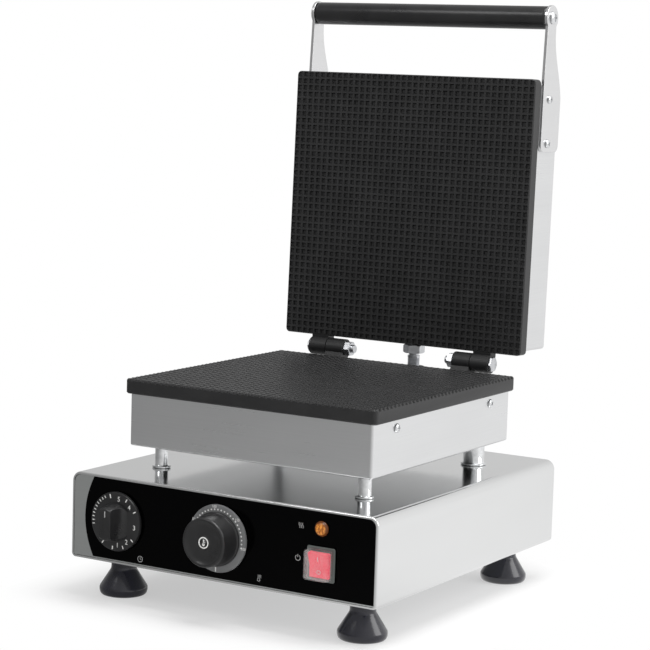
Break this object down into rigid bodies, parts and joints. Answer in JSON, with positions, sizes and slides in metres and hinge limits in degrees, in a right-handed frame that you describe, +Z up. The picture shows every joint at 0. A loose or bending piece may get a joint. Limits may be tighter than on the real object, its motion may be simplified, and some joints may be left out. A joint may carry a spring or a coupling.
{
  "type": "waffle maker",
  "caption": "Tabletop waffle iron: steel base with knobs, lamp and rocker switch, lower baking plate on columns, hinged upper plate with cross handle.",
  "frame": {"origin": "on the surface that the feet stand on, at the centre of the bounding box of the open part", "axes": "+X to the right of a person facing the controls, +Y from the front panel to the back, +Z up"},
  "size_m": [0.32, 0.4036, 0.548],
  "materials": {
    "brushed_steel": "brushed stainless sheet, satin",
    "gloss_overlay": "gloss black printed overlay",
    "plain_steel": "zinc-plated sheet, dull",
    "chrome_columns": "bright turned columns",
    "fasteners": "bright stainless screws and bolts",
    "non_stick": "cast aluminium with a charcoal non-stick coating",
    "foot_rubber": "gloss black moulded feet",
    "black_plastic": "satin black moulding",
    "dial_ring": "dark grey dial with pale dots and plain marks",
    "amber_lens": "amber faceted lens",
    "clear_boot": "clear soft splash boot",
    "red_rocker": "red translucent rocker, lit",
    "heating_element": "heat-tinted tubular element",
    "mineral_wool": "mineral wool slab",
    "ceramic": "ceramic terminal block",
    "copper": "drawn copper capillary"
  },
  "bodies": {
    "base": {"base_cover": "brushed_steel", "front_panel": "brushed_steel", "control_overlay": "gloss_overlay", "rear_panel": "brushed_steel", "bottom_plate": "plain_steel", "foot_front_left": "foot_rubber", "foot_front_right": "foot_rubber", "foot_rear_left": "foot_rubber", "foot_rear_right": "foot_rubber", "column_front_left": "chrome_columns", "column_front_right": "chrome_columns", "column_rear_left": "chrome_columns", "wiring_conduit": "chrome_columns", "lower_casing": "brushed_steel", "lower_plate": "non_stick", "lower_heater": "heating_element", "lower_heater_clamp": "plain_steel", "lower_insulation": "mineral_wool", "casing_screw_front_left": "fasteners", "casing_screw_rear_left": "fasteners", "hinge_bolt_left": "fasteners", "hinge_nut_left": "fasteners", "casing_screw_front_right": "fasteners", "casing_screw_rear_right": "fasteners", "hinge_bolt_right": "fasteners", "hinge_nut_right": "fasteners", "stop_bolt": "fasteners", "stop_locknut": "fasteners", "timer_body": "black_plastic", "thermostat_body": "plain_steel", "capillary_and_bulb": "copper", "lamp_housing": "black_plastic", "lamp_lens": "amber_lens", "switch_housing": "black_plastic", "switch_boot": "clear_boot", "terminal_block": "ceramic", "cable_gland": "black_plastic", "cable_gland_nut": "black_plastic"},
    "lid": {"upper_plate": "non_stick", "upper_casing": "brushed_steel", "upper_heater": "heating_element", "upper_heater_clamp": "plain_steel", "upper_insulation": "mineral_wool", "handle_grip": "black_plastic", "handle_rod": "plain_steel", "handle_arm_left": "brushed_steel", "handle_end_screw_left": "fasteners", "upper_casing_screw_left": "fasteners", "arm_screw_upper_left": "fasteners", "arm_screw_lower_left": "fasteners", "handle_arm_right": "brushed_steel", "handle_end_screw_right": "fasteners", "upper_casing_screw_right": "fasteners", "arm_screw_upper_right": "fasteners", "arm_screw_lower_right": "fasteners"},
    "timer_knob": {"timer_knob": "black_plastic"},
    "thermostat_knob": {"thermostat_knob": "black_plastic", "thermostat_dial": "dial_ring"},
    "rocker": {"switch_rocker": "red_rocker"}
  },
  "joints": [
    {"name": "lid_hinge", "type": "hinge", "parent": "base", "child": "lid", "pos_m": [0, 0.13523, 0.2052], "axis": [1, 0, 0], "range_deg": [0, 92]},
    {"name": "timer_turn", "type": "hinge", "parent": "base", "child": "timer_knob", "pos_m": [-0.108, -0.17777, 0.076], "axis": [0, 1, 0], "range_deg": [0, 300]},
    {"name": "thermostat_turn", "type": "hinge", "parent": "base", "child": "thermostat_knob", "pos_m": [0.001, -0.17777, 0.076], "axis": [0, 1, 0], "range_deg": [0, 270]},
    {"name": "power_rocker", "type": "hinge", "parent": "base", "child": "rocker", "pos_m": [0.106, -0.17837, 0.0687], "axis": [1, 0, 0], "range_deg": [-20, 0]}
  ]
}
